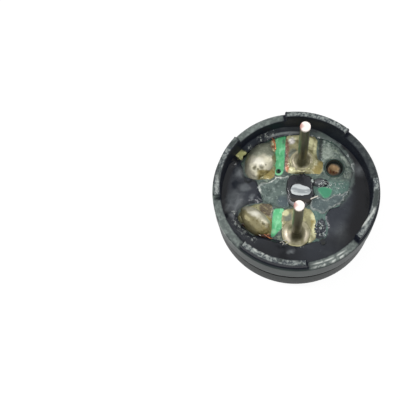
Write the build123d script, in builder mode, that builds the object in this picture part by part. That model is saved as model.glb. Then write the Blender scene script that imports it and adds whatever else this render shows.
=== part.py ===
from build123d import *
import math
import os

# Magnetic buzzer, 16 mm round, lying on its sound face with its two pins up.
# The origin is the centre of the sound face, +Z runs along the axis towards the pins,
# and the pins stand in a row along Y. All sizes are in millimetres.

# Cap
case_radius = 8.0
face_wall = 0.6
side_wall = 0.6
cap_height = 3.05
face_edge_round = 0.4
cap_mouth_chamfer = 0.08
sound_hole_radius = 1.6
sound_hole_chamfer = 0.12

# Base housing
groove_width = 0.65
groove_depth = 0.35
rim_overhang = 0.12
rim_height = 2.55
rim_chamfer = 0.18
fit_gap = 0.05
lip_wall = 0.35
lip_height = 0.25
shelf_width = 1.0

# Lugs that hold the buzzer off the board it is mounted on
lug_count = 4
lug_height = 0.95
lug_span = 49.0
lug_azimuth = -12.4
lug_inset = 0.22
lug_thickness = 0.6
lug_end_round = 0.35
lug_crest_round = 0.15
lug_root = 0.4

# Sound parts
front_chamber = 0.75
diaphragm_thickness = 0.1
armature_radius = 2.2
armature_thickness = 0.25
air_gap = 0.15

# Magnetic circuit
core_radius = 0.95
core_head_radius = 1.2
core_head_height = 0.4
core_head_chamfer = 0.12
coil_radius = 3.6
coil_gap = 0.05
insulator_overhang = 0.2
insulator_thickness = 0.1
magnet_coil_gap = 0.45
magnet_wall_gap = 0.3
magnet_height = 1.1
magnet_chamfer = 0.15
yoke_lip = 0.2
yoke_thickness = 0.5
yoke_hole_gap = 0.15

# Circuit board, which sits a little to one side in its well
board_shift = 0.4
board_gap = 0.05
board_thickness = 0.8
vent_radius = 0.9
vent_inset = 2.1
vent_azimuth = 46.0
lead_hole_radius = 0.2
lead_inset = 0.16
lead_azimuth_a = 130.9
lead_azimuth_b = 236.1

# Copper pads
foil_thickness = 0.05
foil_margin = 0.25
stripe_width = 0.85
pad_margin = 0.1
pin_pad_side = 0.55
pin_pad_tongue = 0.65

# Pins
pin_pitch = 7.6
pin_radius = 0.475
pin_shank_radius = 0.52
pin_shank_rise = 0.05
pin_reach = 5.6
pin_head_radius = 0.75
pin_head_height = 0.3
pin_tip_chamfer = 0.1
pin_hole_gap = 0.05

# Solder joints and coil leads
pin_solder_radius = 1.35
pin_solder_height = 0.95
pin_solder_foot = 0.12
coil_solder_inset = 1.75
coil_solder_azimuth_a = 142.0
coil_solder_azimuth_b = 213.9
coil_solder_turn_a = 70.0
coil_solder_turn_b = -30.0
coil_solder_length = 1.6
coil_solder_width = 1.3
coil_solder_height = 0.95
lead_radius = 0.06
lead_bend = 0.15
lead_lift = 0.3
lead_grip = 0.5

# Epoxy over the board with its window, and the dab of glue round the core's end
potting_depth = 0.3
meniscus_height = 0.5
window_margin = 0.15
window_reach_a = 2.75
window_vent_margin = 0.85
window_corner_place = (2.6, 0.7)
window_corner_radius = 2.0
window_inside_b = 0.8
window_side_b = 1.3
window_radius_b = 1.65
glue_length = 1.75
glue_width = 1.5
glue_depth = 0.35
glue_turn = 20.0
glue_place = (0.3, 0.75)

# Heights, measured from the sound face
shoulder_z = cap_height + groove_width
rim_z = shoulder_z + rim_height
seating_z = rim_z + lug_height
diaphragm_z = face_wall + front_chamber
ledge_z = diaphragm_z + diaphragm_thickness
core_tip_z = ledge_z + air_gap
yoke_z = core_tip_z + magnet_height
board_z = yoke_z + yoke_thickness
board_top_z = board_z + board_thickness
foil_top_z = board_top_z + foil_thickness
potting_z = board_top_z + potting_depth
pin_tip_z = seating_z + pin_reach

# Radii
cap_bore_radius = case_radius - side_wall
spigot_radius = cap_bore_radius - fit_gap
neck_radius = case_radius - groove_depth
rim_radius = case_radius + rim_overhang
lug_outer_radius = rim_radius - lug_inset
well_radius = lug_outer_radius - lug_thickness
shelf_radius = well_radius - shelf_width
lip_radius = spigot_radius - lip_wall
diaphragm_radius = lip_radius - fit_gap
board_radius = well_radius - board_shift - board_gap
foil_radius = board_radius - foil_margin
magnet_outer_radius = shelf_radius - board_shift - magnet_wall_gap
magnet_inner_radius = coil_radius + magnet_coil_gap
yoke_radius = magnet_outer_radius + yoke_lip
lead_reach = coil_radius - lead_inset


def polar(radius, azimuth):
    """The point at a distance from the board's centre, in a direction in degrees from +X."""
    return (radius * math.cos(math.radians(azimuth)), radius * math.sin(math.radians(azimuth)))


# Places on the board, measured from the board's own centre, and the plane they are drawn on
board_plane = Plane(origin=(board_shift, 0, 0))
pin_y = pin_pitch / 2
pin_places = {"a": (0, pin_y), "b": (0, -pin_y)}
lead_holes = {"a": polar(lead_reach, lead_azimuth_a), "b": polar(lead_reach, lead_azimuth_b)}
coil_solder_places = {
    "a": polar(board_radius - coil_solder_inset, coil_solder_azimuth_a),
    "b": polar(board_radius - coil_solder_inset, coil_solder_azimuth_b),
}
coil_solder_turns = {"a": coil_solder_turn_a, "b": coil_solder_turn_b}
vent_place = polar(board_radius - vent_inset, vent_azimuth)

os.makedirs("parts", exist_ok=True)


# Cap: a cup with the sound hole in the middle of its face
with BuildPart() as cap:
    with BuildSketch():
        Circle(case_radius)
    extrude(amount=cap_height)
    fillet(cap.edges().group_by(Axis.Z)[0], face_edge_round)
    with BuildSketch(Plane.XY.offset(face_wall)):
        Circle(cap_bore_radius)
    extrude(amount=cap_height - face_wall, mode=Mode.SUBTRACT)
    chamfer(cap.edges().group_by(Axis.Z)[-1].sort_by(SortBy.LENGTH)[-1], cap_mouth_chamfer)
    with Locations((0, 0, face_wall)):
        Hole(sound_hole_radius, depth=face_wall)
    chamfer(cap.edges().group_by(Axis.Z)[0].sort_by(SortBy.LENGTH)[0], sound_hole_chamfer)
cap.part.label = "cap"
export_step(cap.part, "parts/cap.step")


# One lug, centred on +X: its ends are rounded over, and its outer crest and corners are eased
with BuildPart() as lug:
    with BuildSketch(Plane.XY.offset(rim_z - lug_root)):
        with BuildLine():
            outer_arc = CenterArc((0, 0), lug_outer_radius, -lug_span / 2, lug_span)
            inner_arc = CenterArc((0, 0), shelf_radius, -lug_span / 2, lug_span)
            Line(outer_arc @ 0, inner_arc @ 0)
            Line(outer_arc @ 1, inner_arc @ 1)
        make_face()
    extrude(amount=lug_height + lug_root)
    fillet(lug.edges().group_by(Axis.Z)[-1].filter_by(GeomType.LINE), lug_end_round)
    lug_crest = lug.edges().group_by(Axis.Z)[-1].filter_by(GeomType.CIRCLE)
    fillet(lug_crest.sort_by(SortBy.RADIUS)[-1], lug_crest_round)

# Base housing: a spigot that plugs into the cap, a neck that leaves the groove,
# the shelf that carries the board on one side and the diaphragm on the other, and four lugs
with BuildPart() as base_housing:
    with BuildSketch(Plane.XZ):
        with BuildLine():
            Polyline(
                (shelf_radius, ledge_z),
                (lip_radius, ledge_z),
                (lip_radius, ledge_z - lip_height),
                (spigot_radius, ledge_z - lip_height),
                (spigot_radius, cap_height),
                (neck_radius, cap_height),
                (neck_radius, shoulder_z),
                (rim_radius, shoulder_z),
                (rim_radius, rim_z - rim_chamfer),
                (rim_radius - rim_chamfer, rim_z),
                (shelf_radius, rim_z),
                close=True,
            )
        make_face()
    revolve(axis=Axis.Z)
    with PolarLocations(0, lug_count, start_angle=lug_azimuth):
        add(lug.part)
    with BuildSketch(Plane.XY.offset(board_z)):
        Circle(well_radius)
    extrude(amount=seating_z - board_z, mode=Mode.SUBTRACT)
base_housing.part.label = "base_housing"
export_step(base_housing.part, "parts/base_housing.step")


# Diaphragm: a thin spring steel disc against the housing's ledge
with BuildPart() as diaphragm:
    with BuildSketch(Plane.XY.offset(diaphragm_z)):
        Circle(diaphragm_radius)
    extrude(amount=diaphragm_thickness)
diaphragm.part.label = "diaphragm"
export_step(diaphragm.part, "parts/diaphragm.step")

# Armature disc: the weight in the middle of the diaphragm, on the sound hole's side
with BuildPart() as armature_disc:
    with BuildSketch(Plane.XY.offset(diaphragm_z)):
        Circle(armature_radius)
    extrude(amount=-armature_thickness)
    chamfer(armature_disc.edges().group_by(Axis.Z)[0], armature_thickness / 3)
armature_disc.part.label = "armature_disc"
export_step(armature_disc.part, "parts/armature_disc.step")


# Ring magnet under the yoke
with BuildPart() as ring_magnet:
    with BuildSketch(board_plane.offset(core_tip_z)):
        Circle(magnet_outer_radius)
        Circle(magnet_inner_radius, mode=Mode.SUBTRACT)
    extrude(amount=magnet_height)
    chamfer(ring_magnet.edges().group_by(Axis.Z)[0], magnet_chamfer)
ring_magnet.part.label = "ring_magnet"
export_step(ring_magnet.part, "parts/ring_magnet.step")

# Yoke plate: closes the magnetic circuit, with room for the pin heads and the coil's leads
with BuildPart() as yoke_plate:
    with BuildSketch(board_plane.offset(yoke_z)):
        Circle(yoke_radius)
        Circle(core_radius, mode=Mode.SUBTRACT)
        with Locations(*pin_places.values()):
            Circle(pin_head_radius + yoke_hole_gap, mode=Mode.SUBTRACT)
        with Locations(*lead_holes.values()):
            Circle(lead_hole_radius + yoke_hole_gap, mode=Mode.SUBTRACT)
    extrude(amount=yoke_thickness)
yoke_plate.part.label = "yoke_plate"
export_step(yoke_plate.part, "parts/yoke_plate.step")

# Pole core: its tip faces the diaphragm, and its riveted head shows in the middle of the board
with BuildPart() as pole_core:
    with BuildSketch(board_plane.offset(core_tip_z)):
        Circle(core_radius)
    extrude(amount=board_top_z - core_tip_z)
    with BuildSketch(board_plane.offset(board_top_z)):
        Circle(core_head_radius)
    extrude(amount=core_head_height)
    chamfer(pole_core.edges().group_by(Axis.Z)[-1], core_head_chamfer)
pole_core.part.label = "pole_core"
export_step(pole_core.part, "parts/pole_core.step")

# Insulating washer between the coil and the yoke
with BuildPart() as coil_insulator:
    with BuildSketch(board_plane.offset(yoke_z)):
        Circle(coil_radius + insulator_overhang)
        Circle(core_radius + coil_gap, mode=Mode.SUBTRACT)
        with Locations(*lead_holes.values()):
            Circle(lead_hole_radius, mode=Mode.SUBTRACT)
    extrude(amount=-insulator_thickness)
coil_insulator.part.label = "coil_insulator"
export_step(coil_insulator.part, "parts/coil_insulator.step")


# Coil leads: each leaves the winding's outer turns, runs up through the board, and bends over
# into its solder
lead_low_z = yoke_z - insulator_thickness - lead_grip
lead_top_z = foil_top_z + lead_lift
coil_leads = {}
for side, hole in lead_holes.items():
    with BuildPart() as coil_lead:
        with BuildLine(board_plane):
            lead_route = FilletPolyline(
                (*hole, lead_low_z),
                (*hole, lead_top_z),
                (*coil_solder_places[side], lead_top_z),
                radius=lead_bend,
            )
        with BuildSketch(Plane(origin=lead_route @ 0, z_dir=lead_route % 0)):
            Circle(lead_radius)
        sweep(path=lead_route)
    coil_lead.part.label = f"coil_lead_{side}"
    export_step(coil_lead.part, f"parts/coil_lead_{side}.step")
    coil_leads[side] = coil_lead.part

# Coil winding: one solid for all its turns, wound on the core
with BuildPart() as coil_winding:
    with BuildSketch(board_plane.offset(core_tip_z + coil_gap)):
        Circle(coil_radius)
        Circle(core_radius + coil_gap, mode=Mode.SUBTRACT)
    extrude(amount=magnet_height - coil_gap - insulator_thickness)
    for lead in coil_leads.values():
        add(lead, mode=Mode.SUBTRACT)
coil_winding.part.label = "coil_winding"
export_step(coil_winding.part, "parts/coil_winding.step")


# Circuit board: lies on the housing's shelf, and carries the core, the pins and the coil's ends
with BuildPart() as circuit_board:
    with BuildSketch(board_plane.offset(board_z)):
        Circle(board_radius)
        Circle(core_radius, mode=Mode.SUBTRACT)
        with Locations(*pin_places.values()):
            Circle(pin_shank_radius + pin_hole_gap, mode=Mode.SUBTRACT)
        with Locations(*lead_holes.values()):
            Circle(lead_hole_radius, mode=Mode.SUBTRACT)
        with Locations(vent_place):
            Circle(vent_radius, mode=Mode.SUBTRACT)
    extrude(amount=board_thickness)
circuit_board.part.label = "circuit_board"
export_step(circuit_board.part, "parts/circuit_board.step")

# Copper pads, each given by its left, low, right and high limit, and trimmed to the board.
# The bare stripe between a pin's pad and a coil's pad runs through the lead hole.
pin_pad_inside = pin_solder_radius + pad_margin
pin_pad_right = pin_solder_radius + pin_pad_side
coil_pad_half = coil_solder_length + pad_margin
stripe_half = stripe_width / 2
pads = {
    "pin_pad_a": (lead_holes["a"][0] + stripe_half, pin_y - pin_pad_inside, pin_pad_right, foil_radius),
    "coil_pad_a": (
        -foil_radius,
        coil_solder_places["a"][1] - coil_pad_half,
        lead_holes["a"][0] - stripe_half,
        foil_radius,
    ),
    "pin_pad_b": (
        lead_holes["b"][0] + stripe_half,
        -foil_radius,
        pin_pad_right,
        pin_pad_inside + pin_pad_tongue - pin_y,
    ),
    "coil_pad_b": (
        -foil_radius,
        coil_solder_places["b"][1] - coil_pad_half,
        lead_holes["b"][0] - stripe_half,
        coil_solder_places["b"][1] + coil_pad_half,
    ),
}
pad_parts = []
for name, (left, low, right, high) in pads.items():
    with BuildPart() as pad:
        with BuildSketch(board_plane.offset(board_top_z)):
            with Locations((left, low)):
                Rectangle(right - left, high - low, align=(Align.MIN, Align.MIN))
            Circle(foil_radius, mode=Mode.INTERSECT)
            with Locations(*pin_places.values()):
                Circle(pin_shank_radius + pin_hole_gap, mode=Mode.SUBTRACT)
        extrude(amount=foil_thickness)
    pad.part.label = name
    export_step(pad.part, f"parts/{name}.step")
    pad_parts.append(pad.part)


# Pins with a flat head under the board and a thicker shank through it that ends just above the
# solder, and the hollow-sided cone of solder round each shank
shank_top_z = foil_top_z + pin_solder_height + pin_shank_rise
pin_parts = []
for side, place in pin_places.items():
    with BuildPart() as pin:
        with BuildSketch(board_plane.offset(board_z)):
            with Locations(place):
                Circle(pin_head_radius)
        extrude(amount=-pin_head_height)
        with BuildSketch(board_plane.offset(board_z)):
            with Locations(place):
                Circle(pin_shank_radius)
        extrude(amount=shank_top_z - board_z)
        with BuildSketch(board_plane.offset(shank_top_z)):
            with Locations(place):
                Circle(pin_radius)
        extrude(amount=pin_tip_z - shank_top_z)
        chamfer(pin.edges().group_by(Axis.Z)[-1], pin_tip_chamfer)
    pin.part.label = f"pin_{side}"
    export_step(pin.part, f"parts/pin_{side}.step")

    cone_hollow = (pin_radius * 2 + pin_solder_radius) / 3
    cone_hollow_z = foil_top_z + pin_solder_foot + (pin_solder_height - pin_solder_foot) / 3
    with BuildPart() as pin_solder:
        with BuildSketch(Plane(origin=(board_shift, place[1], 0), x_dir=(1, 0, 0), z_dir=(0, -1, 0))):
            with BuildLine():
                foot = Polyline(
                    (pin_shank_radius, foil_top_z + pin_solder_height),
                    (pin_shank_radius, foil_top_z),
                    (pin_solder_radius, foil_top_z),
                    (pin_solder_radius, foil_top_z + pin_solder_foot),
                )
                ThreePointArc(foot @ 1, (cone_hollow, cone_hollow_z), foot @ 0)
            make_face()
        revolve(axis=Axis((board_shift, place[1], 0), (0, 0, 1)))
    pin_solder.part.label = f"pin_solder_{side}"
    export_step(pin_solder.part, f"parts/pin_solder_{side}.step")
    pin_parts.extend((pin.part, pin_solder.part))

# Domed solder over the end of each coil lead
dome_sections = ((0, 1), (0.55, 0.8), (1, 0.3))
coil_solder_parts = []
for side, place in coil_solder_places.items():
    with BuildPart() as coil_solder:
        for height, share in dome_sections:
            with BuildSketch(board_plane.offset(foil_top_z + coil_solder_height * height)):
                with Locations(place):
                    Ellipse(
                        coil_solder_length * share,
                        coil_solder_width * share,
                        rotation=coil_solder_turns[side],
                    )
        loft()
        add(coil_leads[side], mode=Mode.SUBTRACT)
    coil_solder.part.label = f"coil_solder_{side}"
    export_step(coil_solder.part, f"parts/coil_solder_{side}.step")
    coil_solder_parts.append(coil_solder.part)


# Dab of glue round the core's end
with BuildPart() as core_glue:
    for height, share in ((0, 1), (glue_depth, 0.7)):
        with BuildSketch(board_plane.offset(board_top_z + height)):
            with Locations(glue_place):
                Ellipse(glue_length * share, glue_width * share, rotation=glue_turn)
    loft()
    for piece in (pole_core.part, *pad_parts, *pin_parts):
        add(piece, mode=Mode.SUBTRACT)
core_glue.part.label = "core_glue"
export_step(core_glue.part, "parts/core_glue.step")

# The window in the epoxy: patches round the joints of either row and round the core
window_rounds = (
    (
        (coil_solder_places["a"], coil_solder_length + window_margin),
        (pin_places["a"], window_reach_a),
        (vent_place, vent_radius + window_vent_margin),
        (window_corner_place, window_corner_radius),
    ),
    (
        (coil_solder_places["b"], coil_solder_length + window_margin),
        ((window_side_b, window_inside_b - pin_y), window_radius_b),
    ),
    (((0, 0), lead_reach + window_margin),),
)
window_patches = []
for rounds in window_rounds:
    with BuildSketch() as patch:
        for place, radius in rounds:
            with Locations(place):
                Circle(radius)
        make_hull()
    window_patches.append(patch.sketch)

with BuildSketch() as window:
    for patch_sketch in window_patches:
        add(patch_sketch)
    with Locations((-board_shift, 0)):
        Circle(well_radius - meniscus_height - window_margin, mode=Mode.INTERSECT)

# Epoxy potting: fills the well round the board, creeps up the wall and laps over the board,
# with its window left open over the joints
with BuildPart() as epoxy_potting:
    with BuildSketch(Plane.XZ):
        with BuildLine():
            skirt = Polyline(
                (0, potting_z),
                (0, board_z),
                (well_radius, board_z),
                (well_radius, potting_z + meniscus_height),
            )
            creep = RadiusArc(skirt @ 1, (well_radius - meniscus_height, potting_z), meniscus_height)
            Line(creep @ 1, skirt @ 0)
        make_face()
    revolve(axis=Axis.Z)
    with BuildSketch(board_plane.offset(board_z)):
        Circle(board_radius)
    extrude(amount=board_thickness, mode=Mode.SUBTRACT)
    with BuildSketch(board_plane.offset(board_top_z)):
        add(window.sketch)
    extrude(amount=potting_depth + meniscus_height, mode=Mode.SUBTRACT)
    for piece in (*pad_parts, *pin_parts, *coil_solder_parts, *coil_leads.values()):
        add(piece, mode=Mode.SUBTRACT)
epoxy_potting.part.label = "epoxy_potting"
export_step(epoxy_potting.part, "parts/epoxy_potting.step")
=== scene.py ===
import math

import bmesh
import bpy
import numpy as np
from mathutils import Matrix, Vector, noise


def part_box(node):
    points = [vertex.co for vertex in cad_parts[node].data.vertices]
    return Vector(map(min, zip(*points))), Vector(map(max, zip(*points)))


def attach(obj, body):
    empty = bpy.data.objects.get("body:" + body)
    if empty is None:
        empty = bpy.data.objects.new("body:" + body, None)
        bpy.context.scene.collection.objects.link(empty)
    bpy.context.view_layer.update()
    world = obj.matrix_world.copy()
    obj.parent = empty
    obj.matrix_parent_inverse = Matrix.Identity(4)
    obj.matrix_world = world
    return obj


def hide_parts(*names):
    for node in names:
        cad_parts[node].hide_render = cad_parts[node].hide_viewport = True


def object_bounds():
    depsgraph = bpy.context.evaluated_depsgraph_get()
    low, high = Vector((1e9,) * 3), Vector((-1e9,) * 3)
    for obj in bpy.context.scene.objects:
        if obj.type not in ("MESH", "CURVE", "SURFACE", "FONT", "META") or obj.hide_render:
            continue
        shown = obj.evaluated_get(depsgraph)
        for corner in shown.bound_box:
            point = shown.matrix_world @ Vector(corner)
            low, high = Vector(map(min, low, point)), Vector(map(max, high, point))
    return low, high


# The CAD model of the buzzer is the frame. Shapes are drawn in millimetres and put down in metres.
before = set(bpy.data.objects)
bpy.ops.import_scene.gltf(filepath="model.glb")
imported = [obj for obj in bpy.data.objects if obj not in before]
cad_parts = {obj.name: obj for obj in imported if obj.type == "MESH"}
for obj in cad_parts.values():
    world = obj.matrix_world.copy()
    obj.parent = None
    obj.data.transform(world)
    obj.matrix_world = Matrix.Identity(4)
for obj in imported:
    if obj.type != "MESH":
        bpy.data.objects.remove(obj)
cad_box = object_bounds()
scene = bpy.context.scene
MM = 0.001


def heights(node):
    """How low and how high a CAD node reaches, in millimetres."""
    return [corner.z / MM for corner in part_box(node)]


# Measures that the CAD model gives, in millimetres
CASE_RADIUS = 8.0
CAP_INSIDE = 7.4
CAP_FLOOR = 0.6
CAP_HEIGHT = 3.05
HOLE_RADIUS = 1.6
SPIGOT_RADIUS = 7.35
SPIGOT_END = 1.2
LIP_RADIUS = 7.0
DIAPHRAGM_SEAT = 1.45
SHELF_RADIUS = 6.3
NECK_RADIUS = 7.65
SHOULDER = 3.7
RIM_RADIUS = 8.12
RIM_CHAMFER = 0.18
WELL_RADIUS = 7.3
LUG_RADIUS = 7.9
LUG_TOP = heights("base_housing")[1]
LUG_START = -36.9
LUG_DEGREES = 49
RIM = LUG_TOP - 0.95
BOARD_SHIFT = 0.4
BOARD_RADIUS = 6.85
BOARD_UNDER, BOARD_TOP = heights("circuit_board")
PIN_RADIUS = 0.475
PIN_LOW, PIN_TIP = heights("pin_a")
VENT = (BOARD_SHIFT + 3.3, 3.42)
VENT_RADIUS = 0.9


# Finishes


def shade(code):
    """A colour as written for a screen, in the linear numbers that a shader takes."""
    parts = [int(code[i : i + 2], 16) / 255 for i in (0, 2, 4)]
    return tuple(c / 12.92 if c <= 0.04045 else ((c + 0.055) / 1.055) ** 2.4 for c in parts) + (1,)


def add_node(tree, kind, inputs, **settings):
    """A new node: each input is linked where a socket is given, and set where a value is."""
    node = tree.nodes.new("ShaderNode" + kind)
    for name, value in settings.items():
        setattr(node, name, value)
    for key, value in inputs.items():
        if isinstance(value, bpy.types.NodeSocket):
            tree.links.new(value, node.inputs[key])
        else:
            node.inputs[key].default_value = value
    return node


class Finish:
    """A procedural finish, built in layers on the piece's own coordinates in millimetres.

    A mask is the name of a mark that put_down stores, or a socket."""

    def __init__(self, name, colour, roughness, metal=0.0, specular=0.5, coat=0.0, coat_roughness=0.06):
        self.material = bpy.data.materials.new(name)
        self.material.use_nodes = True
        self.tree = self.material.node_tree
        self.shader = self.tree.nodes["Principled BSDF"]
        constants = {
            "Base Color": shade(colour), "Roughness": roughness, "Metallic": metal,
            "Specular IOR Level": specular, "Coat Weight": coat, "Coat Roughness": coat_roughness,
        }
        for socket, value in constants.items():
            self.shader.inputs[socket].default_value = value
        self.normal = None
        self.place = add_node(self.tree, "TexCoord", {}).outputs["Object"]
        self.place = self.stretched((1 / MM,) * 3)

    def stretched(self, scale):
        return add_node(self.tree, "Mapping", {"Scale": scale, "Vector": self.place}).outputs["Vector"]

    def grain(self, scale, detail=4, roughness=0.55, stretch=None):
        place = self.stretched(stretch) if stretch else self.place
        inputs = {"Scale": scale, "Detail": detail, "Roughness": roughness, "Vector": place}
        return add_node(self.tree, "TexNoise", inputs).outputs["Fac"]

    def mask(self, mark):
        if not isinstance(mark, str):
            return mark
        return add_node(self.tree, "Attribute", {}, attribute_name=mark).outputs["Fac"]

    def combine(self, operation, first, second):
        inputs = {0: self.mask(first), 1: self.mask(second)}
        return add_node(self.tree, "Math", inputs, operation=operation).outputs[0]

    def between(self, source, low, high):
        """0 below low, 1 above high, and a soft step between them."""
        inputs = {"From Min": low, "From Max": high, "Value": source}
        return add_node(self.tree, "MapRange", inputs, interpolation_type="SMOOTHSTEP").outputs["Result"]

    def layer(self, socket_name, mask, value, kind, below, above, out):
        socket = self.shader.inputs[socket_name]
        under = socket.links[0].from_socket if socket.is_linked else socket.default_value
        mix = add_node(self.tree, "Mix", {0: self.mask(mask), below: under, above: value}, data_type=kind)
        self.tree.links.new(mix.outputs[out], socket)

    def cover(self, mask, colour):
        self.layer("Base Color", mask, shade(colour), "RGBA", 6, 7, 2)

    def tint(self, **colours):
        """Tints marks, each over the one before."""
        for mark, colour in colours.items():
            self.cover(mark, colour)

    def dull(self, mask, roughness):
        self.layer("Roughness", mask, roughness, "FLOAT", 2, 3, 0)

    def metal(self, mask, metallic):
        self.layer("Metallic", mask, metallic, "FLOAT", 2, 3, 0)

    def flecks(self, colour, low, high, *grain, on=None, stretch=None):
        """Tints where the noise rises from low to high, all over or on one mask."""
        spots = self.between(self.grain(*grain, stretch=stretch), low, high)
        self.cover(self.combine("MULTIPLY", spots, on) if on else spots, colour)

    def bump(self, depth, *grain, on=None, stretch=None):
        height = self.grain(*grain, stretch=stretch)
        if on:
            height = self.combine("MULTIPLY", height, on)
        inputs = {"Distance": depth * MM, "Strength": 1.0, "Height": height}
        if self.normal:
            inputs["Normal"] = self.normal
        self.normal = add_node(self.tree, "Bump", inputs).outputs["Normal"]
        self.tree.links.new(self.normal, self.shader.inputs["Normal"])
        if self.shader.inputs["Coat Weight"].default_value > 0:
            self.tree.links.new(self.normal, self.shader.inputs["Coat Normal"])


def plain(name, colour, roughness, metal=0.0, grain=6.0, darker=None):
    f = Finish(name, colour, roughness, metal=metal)
    f.flecks(darker or colour, 0.48, 0.7, grain)
    f.bump(0.006, grain * 2, 3)
    return f.material


def cap_plastic():
    f = Finish("moulded_black_cap", "13161a", 0.45, specular=0.07)
    f.tint(side="151a18")
    f.flecks("1b211f", 0.4, 0.7, 0.8, 6, 0.6, on="side")
    f.flecks("242726", 0.66, 0.8, 14, 3)
    # groove: near-black at the cap's mouth, painted shade in the groove between cap and housing
    f.tint(groove="020202")
    f.dull("groove", 0.8)
    f.bump(0.003, 22, 3)
    return f.material


def housing_plastic():
    """Smooth black plastic: grey-green on its side, lighter to the front as painted sheen, with a painted
    reflection to the front left; grey with wear on its rim; rough on the lugs, with scratches and painted
    highlights on the lugs and rim.
    """
    f = Finish("moulded_black_housing", "11151f", 0.42, specular=0.14)
    f.tint(side="1e2625")
    f.flecks("28312f", 0.4, 0.7, 0.8, 6, 0.6, on="side")
    # weathered: a light grey painted reflection, ragged at its edges, on the rim's outer wall to the front
    # left
    f.tint(weathered="6d7771", rim="575e5c")
    f.flecks("717975", 0.46, 0.6, 2.6, 6, 0.75, on="rim")
    f.tint(lug="40464a")
    f.flecks("8b918e", 0.43, 0.58, 3.6, 6, 0.75, on="lug")
    f.flecks("3c4241", 0.5, 0.62, 0.7, 3, 0.5, on="lug")
    # scratched: pale scratches on the lugs, with painted highlights on lug edges and along the rim
    f.tint(scratched="c3c7c2", groove="020202")
    f.dull(f.combine("MAXIMUM", "rim", "lug"), 0.5)
    # groove: near-black on the neck under the rim, painted shade in the groove
    f.dull("groove", 0.8)
    f.bump(0.06, 5, 5, 0.7, on="lug")
    f.bump(0.004, 14, 4, 0.6)
    return f.material


def potting_epoxy():
    f = Finish("black_potting_epoxy", "2b2f37", 0.16, specular=0.3)
    f.dull(f.between(f.grain(0.8, 4, 0.6), 0.52, 0.72), 0.3)
    f.flecks("373c42", 0.45, 0.75, 0.7, 4, 0.6)
    # cloud: grey patches of painted highlight on the epoxy
    f.tint(black="070910", cloud="7d8285")
    f.flecks("b0b6b2", 0.5, 0.62, 3.4, 6, 0.75, on="crumbly")
    f.tint(film="55605d", flux="a3a56f")
    f.flecks("d0d09a", 0.5, 0.62, 3.4, 4, 0.6, on="flux")
    f.dull("cloud", 0.35)
    f.bump(0.006, 2.2, 3, 0.5)
    f.bump(0.1, 4, 5, 0.7, on="crumbly")
    return f.material


def board_mask():
    f = Finish("green_board_mask", "2c4a40", 0.3)
    f.flecks("1f332d", 0.5, 0.7, 6)
    f.bump(0.006, 12, 3)
    return f.material


def flux_film():
    """The board's green mask under flux: mottled grey where it is hazed, bright where it is bare."""
    f = Finish("flux_on_mask", "505f59", 0.32)
    hazed = f.combine("SUBTRACT", 1.0, "bare")
    f.flecks("35443e", 0.44, 0.6, 1.3, 6, 0.7)
    f.flecks("84907f", 0.52, 0.64, 2.2, 6, 0.75)
    f.tint(teal="46665e")
    f.flecks("6d877f", 0.5, 0.62, 2.6, 6, 0.75, on="teal")
    f.flecks("8f9c92", 0.44, 0.56, 2.4, 6, 0.8, on="mottled")
    f.flecks("c0cabf", 0.53, 0.62, 4.2, 6, 0.8, on="mottled")
    f.tint(rough="20252e")
    f.flecks("b9c2c9", 0.55, 0.64, 3.6, 6, 0.75, on="rough")
    f.tint(bare="58b47b")
    f.flecks("43a068", 0.5, 0.62, 1.6, on="bare")
    f.flecks("7fca98", 0.52, 0.62, 1.9, on="bare", stretch=(1.3, 0.8, 1))
    # glossy: painted highlights on the bare green mask
    # stain: dark stains, and painted shade in the via, round the vent and in a pit
    f.tint(spot="337f60", glossy="8fd3a0", haze="aeb8ab", stain="161c1b", under_epoxy="20252a")
    f.flecks("b7c1b8", 0.62, 0.68, 8, 5, 0.75, on=hazed)
    f.dull("bare", 0.2)
    f.bump(0.05, 3, 5, 0.65, on=hazed)
    return f.material


def torn_glue():
    f = Finish("torn_glue_film", "55645f", 0.3)
    f.flecks("3f4e4a", 0.46, 0.6, 1.2, 6, 0.7)
    f.flecks("82908a", 0.52, 0.64, 2.2, 6, 0.8)
    f.tint(blue="3e4c54", torn="dfe4dd")
    f.flecks("c3cac5", 0.63, 0.68, 5.5, 6, 0.8)
    f.bump(0.05, 2.6, 5, 0.65)
    return f.material


def tinned_pad():
    f = Finish("tinned_pad_under_flux", "85815c", 0.38, metal=0.2, coat=0.4, coat_roughness=0.15)
    f.flecks("a19d74", 0.44, 0.6, 2.1, 5, 0.65)
    f.flecks("4d482d", 0.55, 0.72, 4.2, 5, 0.65)
    f.tint(grey="6a7064", gold="8a7b3c", red="70493a", burnt="4f4132")
    f.flecks("8f8560", 0.52, 0.6, 3.2, 6, 0.75, on="burnt")
    f.flecks("2b2018", 0.55, 0.62, 3.9, 6, 0.75, on="burnt")
    f.tint(pale="d2d0a2", tin="efeae4", copper="c87d55", dark="23231b")
    f.metal("tin", 0.6)
    f.bump(0.02, 4.5, 5, 0.6)
    return f.material


def solder():
    f = Finish("hand_made_solder", "c4c0aa", 0.44, metal=0.5)
    f.flecks("a9a592", 0.46, 0.68, 0.9, 4, 0.6)
    # grey: on dome a, a painted reflection of the dark wall on its top
    f.tint(grey="858a79")
    f.flecks("a8ab98", 0.5, 0.66, 2.4, 5, 0.65, on="grey")
    # tan: painted shade on dome b's lower side
    f.tint(tan="7d7654")
    f.flecks("6b6340", 0.52, 0.64, 2.8, 6, 0.7, on="tan")
    f.tint(flux="6d6235")
    f.metal("flux", 0.3)
    f.flecks("9a8f60", 0.46, 0.62, 2.6, 5, 0.6, on="flux")
    f.flecks("3f3719", 0.6, 0.7, 3.4, 5, 0.7, on="flux")
    f.tint(pit="57553c", bright="f2efe2")
    f.dull(f.between(f.grain(2.1, 5), 0.5, 0.7), 0.52)
    f.bump(0.03, 2.6, 5, 0.65)
    return f.material


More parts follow.
